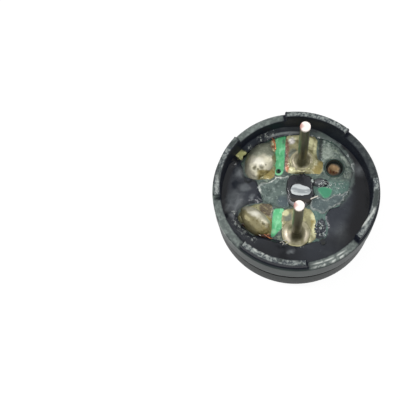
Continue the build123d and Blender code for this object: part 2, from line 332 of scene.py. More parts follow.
def fluxed_solder():
    """Solder on the pins: dulled by a brown skin of flux, with a painted highlight pale along its foot,
    painted sheen on its sides, and painted shade round the pin and on the side of its foot.
    """
    f = Finish("fluxed_solder", "98937a", 0.42, metal=0.45)
    f.flecks("7f7a5c", 0.46, 0.66, 1.6, 5, 0.6)
    # blush and rim are painted highlights; shadow and olive are painted shade
    f.tint(shadow="3c3a26", blush="ded3bd", rim="e0dcaa", olive="6e6a3c")
    f.bump(0.01, 2.0, 4)
    return f.material


def pin_metal():
    f = Finish("tinned_pin", "6f6a52", 0.3, metal=0.85)
    f.flecks("5c5741", 0.45, 0.65, 1.5, stretch=(1, 1, 0.25))
    # pale is a painted sheen high on the shaft, foot painted shade low on it
    f.tint(pale="a5a087", foot="3a3827", cut="f3e9e3", rust="9c4632")
    f.metal("cut", 0.2)
    f.bump(0.006, 7, 3, stretch=(1, 1, 0.2))
    return f.material


# The core's end is painted light grey, far lighter than the core's turned iron: a painted highlight
def core_iron():
    f = Finish("core_iron", "c6cbcc", 0.45, metal=0.3)
    f.flecks("92989b", 0.46, 0.6, 1.1, 5, 0.6, stretch=(0.5, 2.2, 1))
    f.bump(0.01, 3, stretch=(0.5, 2.5, 1))
    return f.material


def dark_glue():
    f = Finish("dark_glue", "191b21", 0.17)
    f.tint(brown="2b2620", grey="55585b")
    f.bump(0.01, 2.5)
    return f.material


def bronze():
    f = Finish("bronze_dimple", "957a56", 0.36, metal=0.35)
    f.flecks("7a4d2e", 0.5, 0.62, 1.6)
    # bright: painted glints on the dimple
    f.tint(shade="3a3a34", red="5c2616", bright="e0c8a4")
    return f.material


# Masks: soft steps, and places that they are asked of


def step(value, low, high):
    """0 below low, 1 above high, and a soft step between them."""
    t = np.clip((value - low) / (high - low), 0, 1)
    return t * t * (3 - 2 * t)


def fall(value, low, high):
    """1 below low, 0 above high, and a soft step between them."""
    return step(-value, -high, -low)


def band(value, middle, full, none):
    """1 within full of the middle, and 0 farther from it than none."""
    return fall(np.abs(value - middle), full, none)


def most(*masks):
    return np.maximum.reduce(masks)


def lumps(points, scale, octaves, seed):
    """Layered noise at each point, from about -1 to 1."""
    away = Vector((seed * 7.3, seed * 3.1, seed * 5.7))
    return np.array([noise.fractal(Vector(p) * scale + away, 0.7, 2.0, octaves) for p in points])


class Places:
    """Many points in millimetres, with what the marks and the heights ask of them."""

    def __init__(self, points):
        self.co = np.array(points, float)
        self.x, self.y, self.z = self.co.T
        self.radius = np.hypot(self.x, self.y)
        self.turn = np.degrees(np.arctan2(self.y, self.x))

    def moved(self, amount):
        return Places(self.co + amount[:, None])

    def on_board(self):
        """The same points, with X from the board's centre."""
        return Places(self.co - [BOARD_SHIFT, 0, 0])

    def away(self, place):
        return np.hypot(self.x - place[0], self.y - place[1])

    def off(self, x, y, squeeze=1.0, squeeze_x=1.0):
        """How far each point lies from a place on the board."""
        return np.hypot((self.x - BOARD_SHIFT - x) * squeeze_x, (self.y - y) * squeeze)

    def near(self, x, y, radius, soft=0.2, squeeze=1.0):
        """1 within a radius of a place on the board, fading out over the soft edge."""
        return fall(self.off(x, y, squeeze), radius, radius + soft)

    def facing(self, middle, full, none):
        """1 within full degrees of a direction from the axis, and 0 beyond none."""
        return fall(np.abs((self.turn - middle + 180) % 360 - 180), full, none)

    def uneven(self, amount, scale, octaves, seed):
        """Layered noise across the board, from about -amount to amount."""
        flat = np.stack([self.x, self.y, np.zeros_like(self.x)], 1)
        return amount * lumps(flat, scale, octaves, seed)


class Shore:
    """A closed smooth line through a few points that are measured from the board's centre."""

    def __init__(self, points, per_span=6):
        p = np.array([(x + BOARD_SHIFT, y) for x, y in points], float)[:, None]
        before, after, second = np.roll(p, 1, 0), np.roll(p, -1, 0), np.roll(p, -2, 0)
        t = (np.arange(per_span) / per_span)[None, :, None]
        curve = 0.5 * (
            2 * p + (after - before) * t + (2 * before - 5 * p + 4 * after - second) * t * t
            + (3 * p - before - 3 * after + second) * t ** 3
        )
        self.line = curve.reshape(-1, 2)

    def inside(self, p):
        """How far each place lies inside the line, and less than 0 outside."""
        nearest = np.full(len(p.x), 1e9)
        within = np.zeros(len(p.x), bool)
        for (ax, ay), (bx, by) in zip(self.line, np.roll(self.line, -1, 0)):
            dx, dy = bx - ax, by - ay
            t = np.clip(((p.x - ax) * dx + (p.y - ay) * dy) / max(dx * dx + dy * dy, 1e-12), 0, 1)
            nearest = np.minimum(nearest, np.hypot(p.x - ax - t * dx, p.y - ay - t * dy))
            crosses = (ay > p.y) != (by > p.y)
            with np.errstate(divide="ignore", invalid="ignore"):
                within ^= crosses & (p.x < dx * (p.y - ay) / dy + ax)
        return np.where(within, nearest, -nearest)


# Shaping


def spun(profile, steps, start=0.0, closed=True):
    """Turns a line of (radius, height) points once round the axis."""
    bm = bmesh.new()
    line = [bm.verts.new((r * math.cos(start), r * math.sin(start), z)) for r, z in profile]
    edges = [bm.edges.new(pair) for pair in zip(line, line[1:] + line[:1] * closed)]
    bmesh.ops.spin(bm, geom=line + edges, axis=(0, 0, 1), angle=math.tau, steps=steps, use_merge=True)
    bmesh.ops.remove_doubles(bm, verts=bm.verts, dist=1e-4)
    return bm


def soften(bm, edges, size, segments, **clamp):
    bmesh.ops.bevel(
        bm, geom=edges, offset=size, affect="EDGES", segments=segments, profile=0.5, material=-1, **clamp
    )


def ring_edges(bm, radius, height, slack=0.01):
    """The edges that run round the axis at one radius and height."""

    def at_corner(v):
        return abs(v.co.xy.length - radius) < 0.01 and abs(v.co.z - height) < slack

    return [e for e in bm.edges if all(at_corner(v) for v in e.verts)]


def ease(bm, radius, height, size, segments):
    soften(bm, ring_edges(bm, radius, height), size, segments, clamp_overlap=True)


def turned(profile, steps, eased=(), place=(0, 0), start=0.0):
    """A turned solid. Each eased corner is its radius, height, size and segments."""
    bm = spun(profile, steps, start)
    bmesh.ops.recalc_face_normals(bm, faces=bm.faces)
    for corner in eased:
        ease(bm, *corner)
    bmesh.ops.translate(bm, vec=(*place, 0), verts=bm.verts)
    return bm


def cut_rings(bm, levels, belongs=lambda part: True):
    """Cuts level rings into a shape, so that marks can change along it."""
    for level in levels:
        geom = [part for part in bm.verts[:] + bm.edges[:] + bm.faces[:] if belongs(part)]
        bmesh.ops.bisect_plane(bm, geom=geom, plane_co=(0, 0, level), plane_no=(0, 0, 1))


def raise_skin(bm, height, base, clear_of=None):
    """Turns a flat sheet into a poured piece: its top goes to the height, it is cut off where
    that sinks to its base, and it is closed below. Nothing of it stays in a round hole."""
    bm.verts.index_update()
    sunk = height(Places([v.co for v in bm.verts])) <= base
    gone = [f for f in bm.faces if all(sunk[v.index] for v in f.verts)]
    bmesh.ops.delete(bm, geom=gone, context="FACES")
    if clear_of:
        (cx, cy), radius = clear_of
        for v in bm.verts:
            away = Vector((v.co.x - cx, v.co.y - cy))
            if 1e-6 < away.length < radius:
                away *= radius / away.length
                v.co.x, v.co.y = cx + away.x, cy + away.y
    bmesh.ops.remove_doubles(bm, verts=bm.verts, dist=1e-3)
    bmesh.ops.dissolve_degenerate(bm, edges=bm.edges, dist=1e-4)
    for v in bm.verts:
        v.co.z = base
    grown = bmesh.ops.extrude_face_region(bm, geom=bm.faces[:], use_keep_orig=True)
    top = [g for g in grown["geom"] if isinstance(g, bmesh.types.BMVert)]
    for v, z in zip(top, np.maximum(height(Places([v.co for v in top])), base + 0.01)):
        v.co.z = z


def sheet_grid(low, high, cell):
    bm = bmesh.new()
    size, centre = Vector(high) - Vector(low), (Vector(low) + Vector(high)) / 2
    bmesh.ops.create_grid(
        bm, x_segments=round(size.x / cell), y_segments=round(size.y / cell), size=0.5
    )
    bmesh.ops.scale(bm, vec=(size.x, size.y, 1), verts=bm.verts)
    bmesh.ops.translate(bm, vec=(centre.x, centre.y, 0), verts=bm.verts)
    return bm


def sheet_over(shore, cell, margin=0.3):
    return sheet_grid(shore.line.min(0) - margin, shore.line.max(0) + margin, cell)


def named(*masks):
    return {mask.__name__: mask for mask in masks}


def put_down(bm, name, material, nodes=(), marks=None, sharp=70):
    """Makes the piece, in metres, and hides the CAD nodes that it stands for. Each mark is a mask of the
    piece's places, which its finish reads."""
    bmesh.ops.recalc_face_normals(bm, faces=bm.faces)
    mesh = bpy.data.meshes.new(name)
    bm.to_mesh(mesh)
    bm.free()
    co = np.zeros(len(mesh.vertices) * 3)
    mesh.vertices.foreach_get("co", co)
    places = Places(co.reshape(-1, 3))
    for mark, mask in (marks or {}).items():
        layer = mesh.attributes.new(mark, "FLOAT", "POINT")
        layer.data.foreach_set("value", np.clip(mask(places), 0, 1).astype(np.float32))
    mesh.transform(Matrix.Scale(MM, 4))
    mesh.shade_smooth()
    mesh.set_sharp_from_angle(angle=math.radians(sharp))
    mesh.materials.append(material)
    piece = bpy.data.objects.new(name, mesh)
    scene.collection.objects.link(piece)
    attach(piece, "root")
    if nodes:
        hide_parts(*nodes)


# The cap with its sound hole


def make_cap():
    bm = turned(
        [(HOLE_RADIUS, 0), (CASE_RADIUS, 0), (CASE_RADIUS, CAP_HEIGHT), (CAP_INSIDE, CAP_HEIGHT),
         (CAP_INSIDE, CAP_FLOOR), (HOLE_RADIUS, CAP_FLOOR)],
        steps=256,
        eased=[(CASE_RADIUS, 0, 0.4, 6), (HOLE_RADIUS, 0, 0.12, 3), (CASE_RADIUS, CAP_HEIGHT, 0.03, 2)],
    )
    cut_rings(bm, (2.4, 2.7, 2.8))

    # The side's grey-green tint fades towards its foot: painted shade near the floor
    def side(p):
        return step(p.radius, CASE_RADIUS - 0.06, CASE_RADIUS - 0.01) * (0.35 + 0.65 * step(p.z, 0.6, 2.6))

    # Painted shade: near-black on the cap's top edge and the side just below it, in the groove
    def groove(p):
        return step(p.z, CAP_HEIGHT - 0.2, CAP_HEIGHT - 0.1)

    put_down(bm, "cap_shell", cap_plastic(), ["cap"], named(side, groove), sharp=40)


# The housing: its ring with the groove, and the four lugs drawn up from the rim


def draw_up_lugs(bm):
    def under_lug(face):
        middle = face.calc_center_median()
        if abs(middle.z - RIM) > 0.01 or not WELL_RADIUS < middle.xy.length < LUG_RADIUS:
            return False
        return (math.degrees(math.atan2(middle.y, middle.x)) - LUG_START) % 90 < LUG_DEGREES

    roots = [f for f in bm.faces if under_lug(f)]
    grown = bmesh.ops.extrude_face_region(bm, geom=roots)
    top = [g for g in grown["geom"] if isinstance(g, bmesh.types.BMVert)]
    bmesh.ops.translate(bm, vec=(0, 0, LUG_TOP - RIM), verts=top)
    bmesh.ops.delete(bm, geom=[f for f in roots if f.is_valid], context="FACES")


def make_housing():
    bm = turned(
        [(SHELF_RADIUS, DIAPHRAGM_SEAT), (LIP_RADIUS, DIAPHRAGM_SEAT), (LIP_RADIUS, SPIGOT_END),
         (SPIGOT_RADIUS, SPIGOT_END), (SPIGOT_RADIUS, CAP_HEIGHT), (NECK_RADIUS, CAP_HEIGHT),
         (NECK_RADIUS, SHOULDER), (RIM_RADIUS, SHOULDER), (RIM_RADIUS, RIM - RIM_CHAMFER),
         (RIM_RADIUS - RIM_CHAMFER, RIM), (LUG_RADIUS, RIM), (WELL_RADIUS, RIM),
         (WELL_RADIUS, BOARD_UNDER), (SHELF_RADIUS, BOARD_UNDER)],
        steps=360, start=math.radians(LUG_START),
    )
    draw_up_lugs(bm)

    def across(height, span):
        """The edges at one height that lead in towards the axis."""
        level = [e for e in bm.edges if all(abs(v.co.z - height) < 0.001 for v in e.verts)]
        return [e for e in level if abs(e.verts[0].co.xy.length - e.verts[1].co.xy.length) > span]

    def outer_wall(part):
        verts = [part] if isinstance(part, bmesh.types.BMVert) else part.verts
        return all(abs(v.co.xy.length - RIM_RADIUS) < 0.01 and SHOULDER - 0.01 < v.co.z < RIM for v in verts)

    ends = [e for e in across(LUG_TOP, 0.3)
            if len(e.link_faces) == 2 and any(abs(f.normal.z) < 0.5 for f in e.link_faces)]
    soften(bm, ends, 0.35, 6)
    soften(bm, ring_edges(bm, LUG_RADIUS, LUG_TOP, 0.001), 0.12, 3)
    soften(bm, ring_edges(bm, WELL_RADIUS, LUG_TOP, 0.001), 0.06, 2)
    cut_rings(bm, np.arange(SHOULDER + 0.3, RIM - 0.3, 0.35), outer_wall)
    ease(bm, RIM_RADIUS, SHOULDER, 0.08, 2)
    ease(bm, RIM_RADIUS, RIM - RIM_CHAMFER, 0.05, 2)
    ease(bm, WELL_RADIUS, RIM, 0.05, 2)
    bmesh.ops.subdivide_edges(bm, edges=across(RIM, 0.4), cuts=5, use_grid_fill=True)
    # The lug tops are rough where they were cut from the moulding's gates
    bmesh.ops.subdivide_edges(bm, edges=across(LUG_TOP, 0.2), cuts=4, use_grid_fill=True)
    tops = [v for v in bm.verts if v.co.z > LUG_TOP - 0.02]
    for v, lump in zip(tops, lumps([v.co for v in tops], 3.0, 5, 2)):
        v.co.z = LUG_TOP - 0.004 - 0.03 * max(0, lump + 0.2)
    bmesh.ops.remove_doubles(bm, verts=bm.verts, dist=0.002)
    bmesh.ops.dissolve_degenerate(bm, edges=bm.edges, dist=0.001)
    put_down(bm, "housing_with_lugs", housing_plastic(), ["base_housing"], housing_marks(), sharp=35)


def housing_marks():
    def from_lug(p):
        """Degrees along the rim from the nearest lug, less than 0 on it."""
        return np.abs((p.turn - LUG_START - LUG_DEGREES / 2 + 45) % 90 - 45) - LUG_DEGREES / 2

    # The outer wall's grey-green: the plastic's own tone, lighter towards the front as a painted sheen
    def side(p):
        outer = step(p.radius, RIM_RADIUS - 0.2, RIM_RADIUS - 0.1) * fall(p.z, RIM - 0.05, RIM + 0.02)
        return outer * (0.65 + 0.35 * p.facing(-100, 20, 70))

    # A painted reflection on the rim's outer wall to the front left, ragged at its edges
    def weathered(p):
        outer = step(p.radius, RIM_RADIUS - 0.6, RIM_RADIUS - 0.3) * step(p.z, 4.6, 6.1)
        return 0.85 * p.facing(-155, 14, 34) * outer * step(lumps(p.co, 1.6, 5, 12), -0.4, 0.3)

    def rim(p):
        top = step(p.z, RIM - 0.2, RIM - 0.03) * fall(p.z, RIM + 0.02, RIM + 0.1)
        flat = step(p.radius, WELL_RADIUS + 0.02, WELL_RADIUS + 0.1)
        coated = 0.75 * p.facing(33, 17, 24)
        return top * step(from_lug(p), 1.2, 2.4) * flat * (1 - coated)

    def lug(p):
        flat = step(p.radius, WELL_RADIUS + 0.03, WELL_RADIUS + 0.12)
        flat *= fall(p.radius, LUG_RADIUS - 0.1, LUG_RADIUS - 0.02)
        return flat * step(p.z, LUG_TOP - 0.12, LUG_TOP - 0.04)

    # Pale marks: ragged scratches on the front lug and a burr on the right lug, and painted highlights: a
    # band on the left lug's inner crest, a glint at one lug's end and streaks along the rim to the lower
    # right
    def scratched(p):
        ragged = step(lumps(p.co, 3.4, 4, 9), 0.0, 0.25)
        front = band(p.radius, 7.45, 0.03, 0.14) * p.facing(-117, 8, 15) * ragged
        left = 0.45 * band(p.radius, 7.62, 0.05, 0.14) * p.facing(-177, 5, 9)
        burr = band(p.radius - 0.024 * (p.turn + 13), 7.68, 0.04, 0.14) * p.facing(-20, 7, 10)
        corner = p.facing(53, 0.4, 1.2) * band(p.radius, 7.45, 0.1, 0.2)
        on_lugs = 0.8 * (front + left + corner + burr) * step(p.z, LUG_TOP - 0.12, LUG_TOP - 0.03)
        streaks = band(p.radius, 7.62, 0.03, 0.1) + band(p.radius, 7.93, 0.04, 0.12)
        ledge = streaks * p.facing(-61, 9, 15) * step(p.uneven(1, 1.6, 4, 10), -0.15, 0.15)
        return np.maximum(on_lugs, 0.9 * ledge * band(p.z, RIM, 0.01, 0.12))

    # Painted shade: near-black on the neck and under the rim's shoulder, in the groove
    def groove(p):
        neck = fall(p.radius, RIM_RADIUS - 0.12, RIM_RADIUS - 0.05)
        neck *= step(p.radius, SPIGOT_RADIUS + 0.05, SPIGOT_RADIUS + 0.15)
        return neck * fall(p.z, SHOULDER + 0.02, SHOULDER + 0.1)

    return named(side, weathered, rim, lug, scratched, groove)


# The epoxy: it fills the well round the board, leaves a window on the board, and climbs the wall

WINDOW = Shore([
    (-3.22, 6.28), (-1.93, 6.71), (-0.41, 6.94), (1.33, 6.74), (2.46, 6.5), (3.51, 5.7), (4.48, 4.57),
    (5.03, 3.54), (5.09, 2.47), (4.94, 1.6), (4.6, 0.51), (3.97, -0.49), (3.12, -0.98), (2.68, -1.64),
    (2.93, -2.65), (2.91, -3.78), (2.36, -4.34), (0.45, -4.72), (-1.21, -4.67), (-2.31, -4.46),
    (-4.3, -4.23), (-5.59, -3.1), (-5.88, -2.18), (-5.26, -1.39), (-3.6, -0.93), (-3.66, -0.3),
    (-4.04, 0.63), (-4.42, 1.46), (-5.47, 1.8), (-5.96, 2.74), (-6.6, 3.97), (-6.04, 4.6), (-5.18, 5.23),
    (-4.21, 5.86),
])
# Soft swells in the epoxy: place on the board, reach and height
EPOXY_SWELLS = [
    (-6.1, 2.1, 0.55, 0.28), (-5.5, 0.45, 0.7, 0.2), (-6.1, -1.1, 0.7, 0.3), (-6.55, -2.6, 0.5, 0.2),
    (-5.2, 5.3, 0.5, 0.16), (-4.5, -0.5, 0.6, 0.12), (0.1, -5.4, 0.6, 0.14), (-2.2, -5.3, 0.8, 0.12),
]
# Pits in it: place, reach and depth
EPOXY_PITS = [
    (2.67, -4.5, 0.24, 0.35), (-5.2, 1.3, 0.3, 0.15),
]
# Crumbly places in it: place, reach
CRUMBLY = [
    (-4.4, 5.85, 0.35), (-3.7, 6.25, 0.35), (-3.0, 6.5, 0.3), (-5.95, -3.15, 0.45), (-5.5, -3.75, 0.45),
    (-4.9, -4.3, 0.45), (-4.1, -4.75, 0.35), (-5.3, 4.9, 0.25), (-6.3, -2.2, 0.3), (-1.0, -4.9, 0.25),
    (0.6, -5.0, 0.25),
]
# Grey patches of painted highlight on the epoxy, where it catches the light: place, radius, softness, squeeze
CLOUDS = [
    (-6.08, 2.0, 0.05, 0.8, 1), (-5.43, 0.45, 0, 0.9, 1.6), (-6.3, -1.1, 0.3, 1.0, 0.8),
    (-6.5, -2.6, 0, 0.5, 1), (-4.7, -0.55, 0.05, 0.4, 1.3), (-6.9, -1.6, 0.05, 0.5, 0.8),
    (-0.2, -5.6, 0.0, 0.5, 1.4), (4.2, -3.4, -1.4, 2.8, 0.8), (5.7, 3.3, -0.6, 1.9, 1.3),
]


def epoxy_height(p):
    out = -WINDOW.inside(p) + p.uneven(0.1, 1.4, 3, 4)
    bead = 0.26 * (1 - np.exp(-np.maximum(out, 0) / 0.35))
    dip = 0.5 * np.minimum(out, 0)
    left = fall(p.x, -3.5, 1.0) * step(p.radius, 2.5, 5.0)
    swell = p.uneven(0.02 + 0.08 * left, 0.6, 2, 1)
    for x, y, reach, rise in EPOXY_SWELLS:
        swell = swell + rise * np.exp(-(p.off(x, y) / reach) ** 2)
    for x, y, reach, depth in EPOXY_PITS:
        swell = swell - depth * np.exp(-(p.off(x, y) / reach) ** 4)
    climb = 0.04 + 0.5 * np.maximum(p.facing(115, 30, 60), p.facing(-120, 15, 40))
    wall = climb * np.exp(-(WELL_RADIUS - p.radius) / 0.3) * (1 + p.uneven(0.3, 0.5, 2, 7))
    ashore = step(out, 0.0, 0.5)
    return BOARD_TOP + bead + dip + swell * ashore + wall + 0.1 * left * ashore


def make_potting():
    spokes, rings = 360, 86
    bm = spun([(WELL_RADIUS * i / rings, 0) for i in range(rings + 1)], spokes, closed=False)
    raise_skin(bm, epoxy_height, BOARD_TOP - 0.12)

    def crumbly(p):
        return most(*[p.near(x, y, r * 0.4, r) for x, y, r in CRUMBLY])

    def film(p):
        """Thin epoxy over the board shows it, where the window's right shore fades out."""
        ragged = p.uneven(0.15, 1.5, 4, 18)
        return 0.85 * step(WINDOW.inside(p) + ragged, -0.45, -0.1) * step(p.x + 0.5 * p.y, 3.6, 5.6)

    def flux(p):
        return 0.95 * fall(p.off(-6.15, 3.95, squeeze_x=0.75) - p.uneven(0.25, 2.2, 4, 15), 0.3, 0.5)

    # Painted highlights: grey patches on the swells and smooth parts of the epoxy, and a painted reflection
    # along the meniscus at the top of the wall
    def cloud(p):
        moved = p.moved(p.uneven(0.25, 0.9, 4, 16))
        clouds = most(*[moved.near(*place) for place in CLOUDS])
        top_line = band(p.radius, 6.92, 0.03, 0.12) * p.facing(104, 8, 18)
        return np.maximum(0.8 * clouds * (0.75 + p.uneven(0.25, 2.5, 4, 17)), top_line)

    def black(p):
        low = p.facing(-100, 12, 32) * step(p.radius, 4.6, 5.4)
        right = p.facing(10, 40, 62) * step(p.radius, 5.0, 6.3)
        left = p.facing(172, 24, 38) * step(p.radius, 6.5, 6.9)
        return most(0.6 * low, 0.95 * right, 0.9 * left)

    marks = named(crumbly, film, flux, cloud, black)
    put_down(bm, "epoxy_fill", potting_epoxy(), ["epoxy_potting"], marks)


# The board's visible face: mask and flux, with bare green stripes between the pads

STRIPES = [
    Shore([
        (-2.8, 6.5), (-1.9, 6.6), (-1.78, 4.4), (-1.76, 2.75), (-1.95, 2.28), (-2.25, 2.17), (-2.58, 2.3),
        (-2.7, 3.0), (-2.76, 4.8),
    ]),
    Shore([
        (-2.35, -1.55), (-1.95, -1.38), (-1.42, -1.4), (-1.36, -2.2), (-1.4, -3.25), (-1.75, -3.75),
        (-2.2, -4.3), (-2.52, -4.1), (-2.45, -2.7),
    ]),
]
GREEN_SPOT = Shore([
    (1.85, 1.0), (2.35, 1.22), (3.1, 1.05), (3.0, 0.45), (2.6, 0.2), (2.35, 0.3), (2.0, 0.7),
])
VIA = (BOARD_SHIFT - 2.25, 2.6)
VENT_SHADE = 1.05


def from_edge(p):
    """How far a place lies inside the board's round edge."""
    return BOARD_RADIUS - 0.1 - np.hypot(p.x - BOARD_SHIFT, p.y)


def from_rough_patch(p):
    return p.off(2.35, -3.15, squeeze=0.7, squeeze_x=1.1)


def film_height(p):
    vent = p.away(VENT)
    bare = most(*[step(stripe.inside(p), -0.1, 0.1) for stripe in STRIPES])
    rough = fall(from_rough_patch(p), 0.5, 0.9) * (0.08 + p.uneven(0.14, 3.5, 4, 24))
    rise = 0.03 + p.uneven(0.035, 1.3, 4, 11) * (1 - bare) + rough
    ring = 0.07 * np.exp(-((vent - 1.1) / 0.09) ** 2)
    via = 0.3 * fall(p.away(VIA), 0.16, 0.24)
    edge = np.minimum.reduce([WINDOW.inside(p) + 0.5, (vent - 0.97) * 1.5, 2 * from_edge(p)])
    return BOARD_TOP + np.minimum(rise + ring, edge * 0.6) - via


def film_marks():
    def bare(p):
        return most(*[step(stripe.inside(p), -0.04, 0.05) for stripe in STRIPES], spot(p))

    def spot(p):
        return 0.95 * step(GREEN_SPOT.inside(p), -0.08, 0.08)

    def mottled(p):
        patch = step(p.y + 0.3 * p.x, 3.6, 4.4) * step(p.away(VENT), VENT_SHADE, VENT_SHADE + 0.2)
        return 0.75 * patch * step(WINDOW.inside(p), -0.1, 0.5) * step(p.x, 2.2, 2.6)

    def rough(p):
        return fall(from_rough_patch(p) - p.uneven(0.2, 2.0, 4, 23), 0.55, 0.85)

    # Dark marks: painted shade in the via, round the vent's edge and in a pit, with a dark strip beside pin
    # pad a and a dark spot by the top of the upper stripe
    def stain(p):
        beside_pad = 0.8 * band(p.x, BOARD_SHIFT + 1.78, 0.08, 0.3) * step(p.y, 3.9, 4.4)
        return most(
            fall(p.away(VIA), 0.2, 0.27), fall(p.away(VENT), VENT_SHADE - 0.06, VENT_SHADE),
            0.6 * p.near(-1.98, 5.85, 0.06, 0.16, 0.5), p.near(2.67, -4.5, 0.35, 0.15), beside_pad,
        )

    # Painted highlights: the lower lip of the via, the end of the lower stripe and a few spots beside it
    def glossy(p):
        return most(
            0.7 * band(p.away(VIA), 0.36, 0.02, 0.09) * fall(p.y, 2.5, 2.75),
            0.9 * p.near(-2.2, -3.75, 0.14, 0.2), 0.3 * p.near(-1.8, -2.6, 0.4, 0.4),
            0.7 * p.near(-1.45, -2.3, 0.04, 0.08, 0.1),
        )

    def haze(p):
        angle = np.arctan2(p.y - VENT[1], p.x - VENT[0])
        swoosh = band(p.away(VENT), 1.4, 0.04, 0.22) * step(angle, 0.1, 0.35) * fall(angle, 1.0, 1.35)
        return most(0.55 * swoosh, 0.4 * p.near(2.4, 5.0, 0.35, 0.6), 0.4 * p.near(5.0, 2.75, 0.1, 0.22))

    def teal(p):
        return 0.85 * step(p.x, 1.0, 2.4) * fall(p.y, 1.6, 2.4)

    def under_epoxy(p):
        """The board darkens where the epoxy laps thinly over it, to the upper right."""
        shore = WINDOW.inside(p) - p.uneven(0.25, 1.2, 4, 19)
        return 0.85 * fall(shore, -0.1, 0.35) * step(p.x + p.y, 4.6, 6.4)

    return named(bare, spot, rough, mottled, stain, glossy, haze, teal, under_epoxy)


def make_film():
    bm = sheet_grid((-6.9, -5.6), (6.6, 7.0), 0.07)
    raise_skin(bm, film_height, BOARD_TOP - 0.3, (VENT, VENT_RADIUS + 0.02))
    put_down(bm, "board_face", flux_film(), marks=film_marks())


# A torn film of glue over the board's middle, on both sides of the core

GLUE_FILMS = {
    "left": Shore([
        (-4.15, 0.75), (-3.7, 1.25), (-3.15, 1.35), (-2.75, 1.6), (-2.45, 2.0), (-1.9, 1.95), (-1.2, 2.1),
        (-0.8, 1.6), (-0.75, 0.6), (-0.9, -0.5), (-0.7, -1.1), (-1.5, -1.35), (-2.5, -1.1), (-3.45, -0.85),
        (-3.75, -0.2),
    ]),
    "right": Shore([
        (1.2, 0.2), (1.9, 0.35), (2.6, 0.0), (3.3, 0.45), (4.6, 0.9), (5.0, 1.6), (4.6, 0.4), (3.9, -0.5),
        (3.1, -0.95), (2.7, -1.5), (1.9, -1.3), (1.1, -0.9),
    ]),
}


def make_glue_film(side, shore, seed, finish):
    def inside(p):
        return shore.inside(p) + p.uneven(0.14, 1.9, 5, seed)

    def height(p):
        depth = inside(p)
        lip = 0.1 * np.exp(-((depth - 0.1) / 0.08) ** 2)
        film = 0.1 * (1 - np.exp(-np.maximum(depth, 0) / 0.08)) + 0.7 * np.minimum(depth, 0)
        return BOARD_TOP + 0.02 + film + lip + p.uneven(0.05, 1.2, 4, seed + 5) * step(depth, 0, 0.3)

    def torn(p):
        patchy = 0.45 + 0.55 * step(p.uneven(1, 2.4, 3, seed + 9), -0.15, 0.2)
        edge = band(inside(p), 0.07, 0.04, 0.16) * patchy
        if side == "right":
            return 0.3 * edge
        return edge * np.maximum(step(p.y + 0.5 * p.x, -0.9, 0.0), p.near(-4.0, 0.5, 0.3, 0.4))

    def blue(p):
        return np.maximum(0.8 * p.near(-1.5, -0.6, 0.35, 0.5), 0.5 * step(p.x, 1.0, 1.6))

    bm = sheet_over(shore, 0.05)
    raise_skin(bm, height, BOARD_TOP - 0.08)
    put_down(bm, f"glue_film_{side}", finish, marks=named(torn, blue))


# Pads: tin and flux lie on the copper in a low uneven pool

PADS = {
    "pin_pad_a": Shore([
        (-1.75, 6.5), (-1.72, 4.4), (-1.61, 2.77), (-0.78, 2.41), (0.52, 2.52), (2.1, 2.7), (2.15, 3.9),
        (1.56, 4.3), (1.45, 5.4), (1.25, 6.6), (-0.3, 6.9),
    ]),
    "coil_pad_a": Shore([
        (-2.95, 6.5), (-2.72, 4.0), (-2.6, 1.95), (-4.22, 1.5), (-5.4, 1.9), (-5.7, 2.96), (-5.5, 4.3),
        (-4.9, 5.2), (-4.0, 6.0),
    ]),
    "coil_pad_b": Shore([
        (-2.6, -1.05), (-2.48, -2.41), (-2.55, -4.48), (-4.31, -4.2), (-5.81, -2.91), (-5.7, -2.06),
        (-5.25, -1.5), (-3.9, -1.0),
    ]),
    "pin_pad_b": Shore([
        (-1.55, -1.71), (-0.5, -1.19), (0.97, -1.06), (1.7, -1.74), (1.95, -3.1), (1.88, -4.29),
        (0.92, -4.7), (-1.03, -4.7), (-1.4, -3.57),
    ]),
}
# Where each pad is reddish, pale, gold, grey, burnt, tin-bright or bare copper: place, radius, squeeze
PAD_SPOTS = {
    "pin_pad_a": {
        "red": [(-1.62, 4.2, 0.12, 0.1), (-1.35, 2.7, 0.1, 1)],
        "pale": [
            (1.3, 5.4, 0.12, 0.3), (1.5, 6.0, 0.2, 1), (-0.9, 2.75, 0.22, 1), (-1.2, 6.4, 0.5, 1.5),
            (0.75, 5.9, 0.15, 0.5), (-0.5, 6.6, 0.2, 1),
        ],
        "gold": [(1.6, 3.0, 0.35, 1), (1.9, 3.6, 0.2, 1)],
        "grey": [(-1.0, 4.4, 0.3, 0.6)],
        "tin": [(-1.15, 6.0, 0.2, 1)],
        "copper": [(-1.45, 2.85, 0.02, 0.5)],
    },
    "coil_pad_a": {
        "red": [(-2.95, 5.2, 0.1, 0.3)],
        "pale": [(-2.95, 5.75, 0.14, 0.6), (-2.85, 4.4, 0.05, 0.3)],
        "gold": [(-3.2, 2.2, 0.5, 1)],
        "grey": [(-4.0, 5.2, 0.7, 1)],
        "copper": [(-2.95, 6.05, 0.1, 0.5), (-2.72, 5.2, 0.06, 0.4)],
    },
    "coil_pad_b": {
        "red": [(-3.9, -4.1, 0.9, 2.5)],
        "pale": [(-5.6, -1.9, 0.1, 1)],
        "gold": [(-2.9, -3.2, 0.4, 0.6)],
        "burnt": [(-3.1, -1.5, 0.6, 1), (-2.75, -2.0, 0.2, 1)],
        "copper": [(-2.75, -4.3, 0.08, 1.5)],
    },
    "pin_pad_b": {
        "pale": [
            (-1.2, -1.75, 0.22, 1), (1.6, -1.9, 0.2, 0.8), (1.75, -3.3, 0.1, 0.3), (1.3, -4.4, 0.15, 1),
        ],
        "gold": [(0.9, -4.5, 0.4, 1.5), (1.7, -2.6, 0.2, 0.4)],
        "grey": [(-0.9, -2.2, 0.3, 1)],
    },
}
